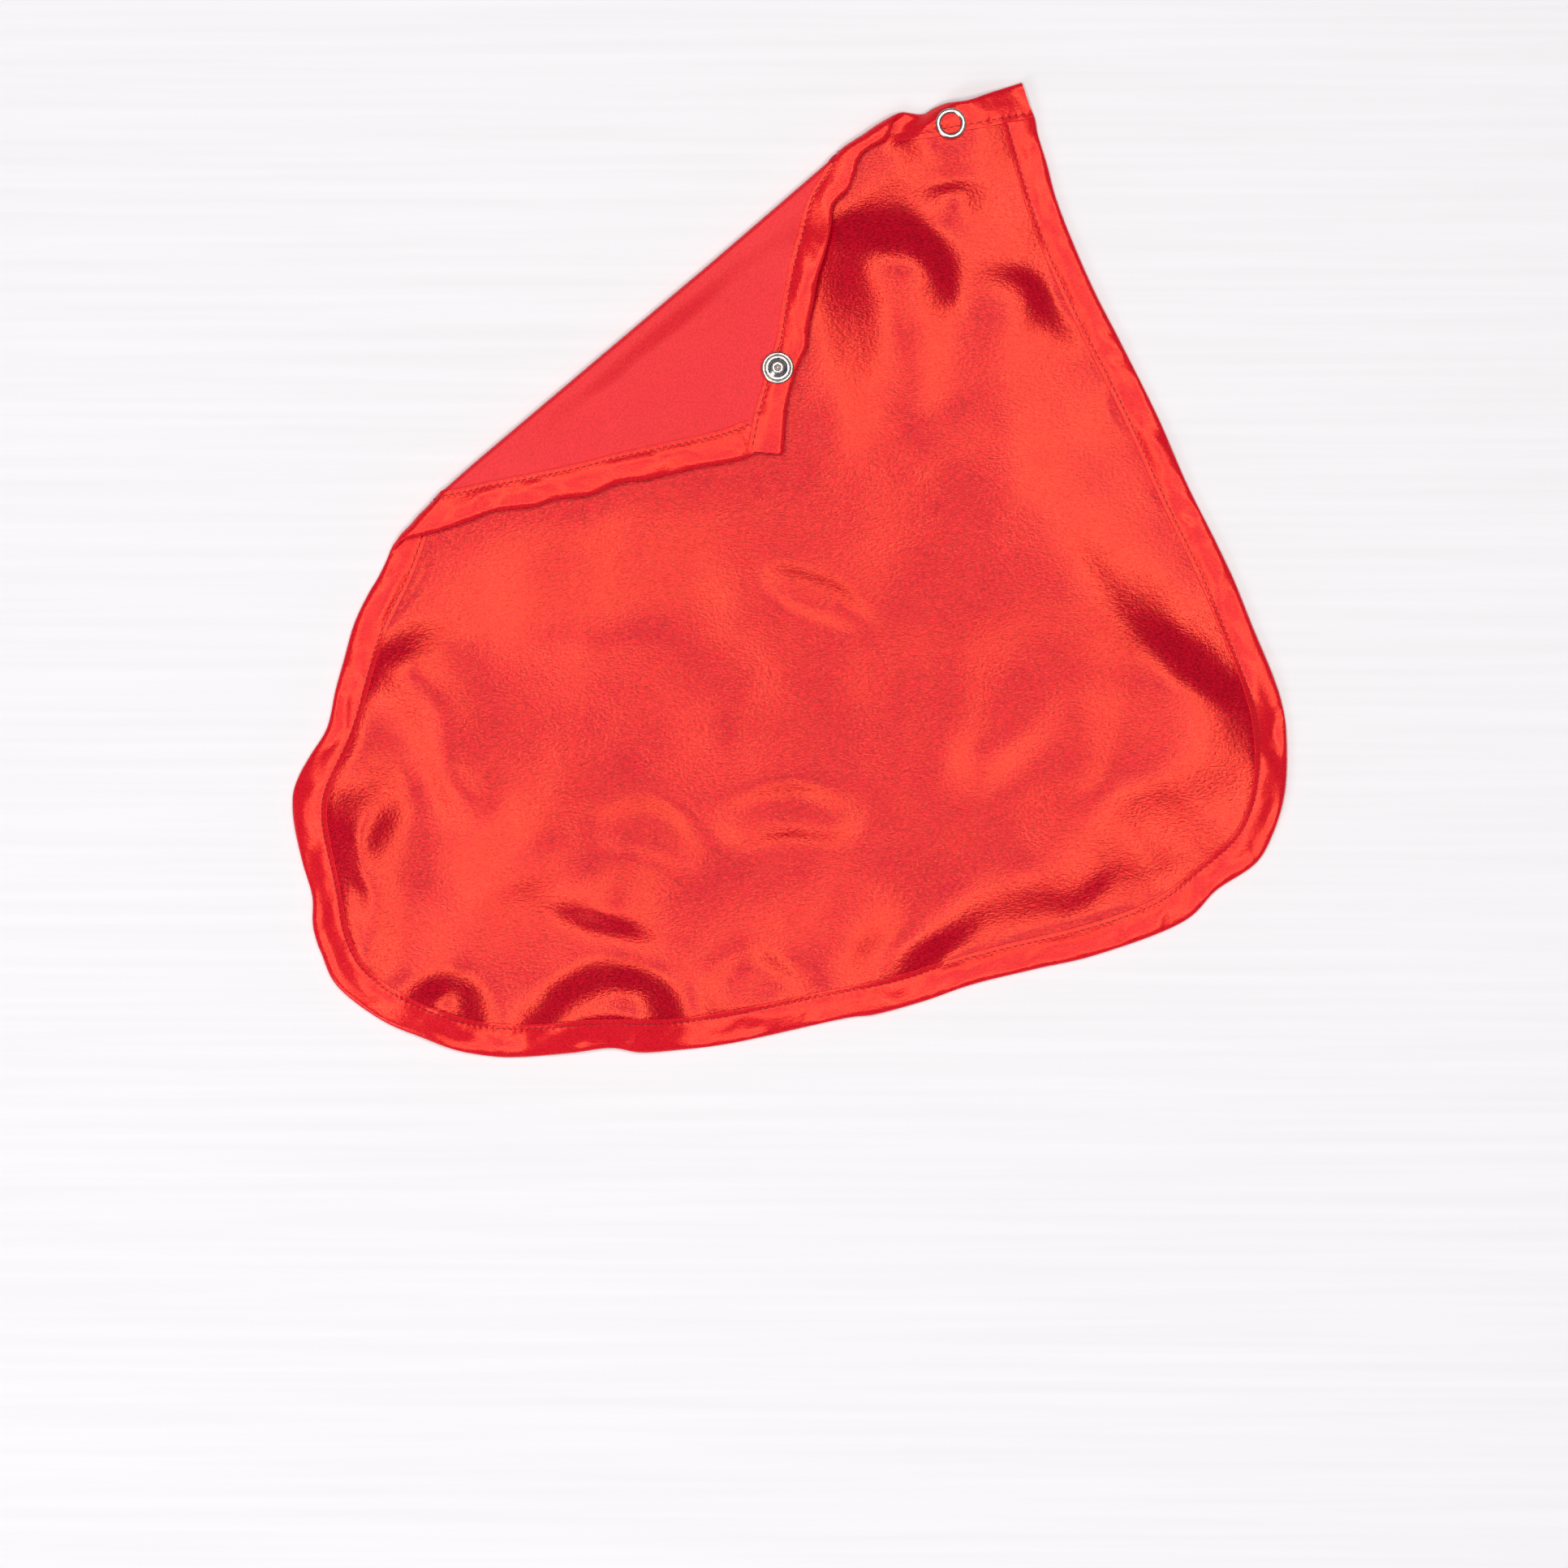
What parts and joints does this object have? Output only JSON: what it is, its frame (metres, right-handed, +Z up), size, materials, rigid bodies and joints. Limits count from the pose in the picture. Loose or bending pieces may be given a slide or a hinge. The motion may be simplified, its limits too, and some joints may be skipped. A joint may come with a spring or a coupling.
{
  "type": "superhero cape",
  "caption": "Baby's plain satin superhero cape with a bound edge, a neck band that fastens to a garment's shoulders, and one neck corner folded over.",
  "frame": {"origin": "middle of the cape's box, on the surface that it lies on", "axes": "+Z up, out of the cape's outer face; +Y from the hem towards the neck as the cape lies, about 9 degrees off its own middle line; +X towards the snap whose ring shows"},
  "size_m": [0.3134, 0.3074, 0.0084],
  "materials": {
    "satin": "satin",
    "binding_tape": "satin",
    "band_satin": "satin",
    "sewing_thread": "matte",
    "nickel": "polished"
  },
  "bodies": {
    "cape": {"panel_main": "satin", "binding_main": "binding_tape", "neck_band_main": "band_satin", "binding_top_thread_main": "sewing_thread", "band_top_thread_main": "sewing_thread", "binding_bobbin_thread_main": "sewing_thread", "band_bobbin_thread_main": "sewing_thread", "ring_cap_main": "nickel", "stud_main": "nickel"},
    "corner": {"panel_corner": "satin", "binding_corner": "binding_tape", "neck_band_corner": "band_satin", "binding_top_thread_corner": "sewing_thread", "band_top_thread_corner": "sewing_thread", "binding_bobbin_thread_corner": "sewing_thread", "band_bobbin_thread_corner": "sewing_thread", "ring_cap_corner": "nickel", "stud_corner": "nickel"}
  },
  "joints": [
    {"name": "corner_fold", "type": "hinge", "parent": "cape", "child": "corner", "pos_m": [-0.0359, 0.08946, 0.0026], "axis": [-0.7638, -0.6455, 0], "range_deg": [0, 175]}
  ]
}
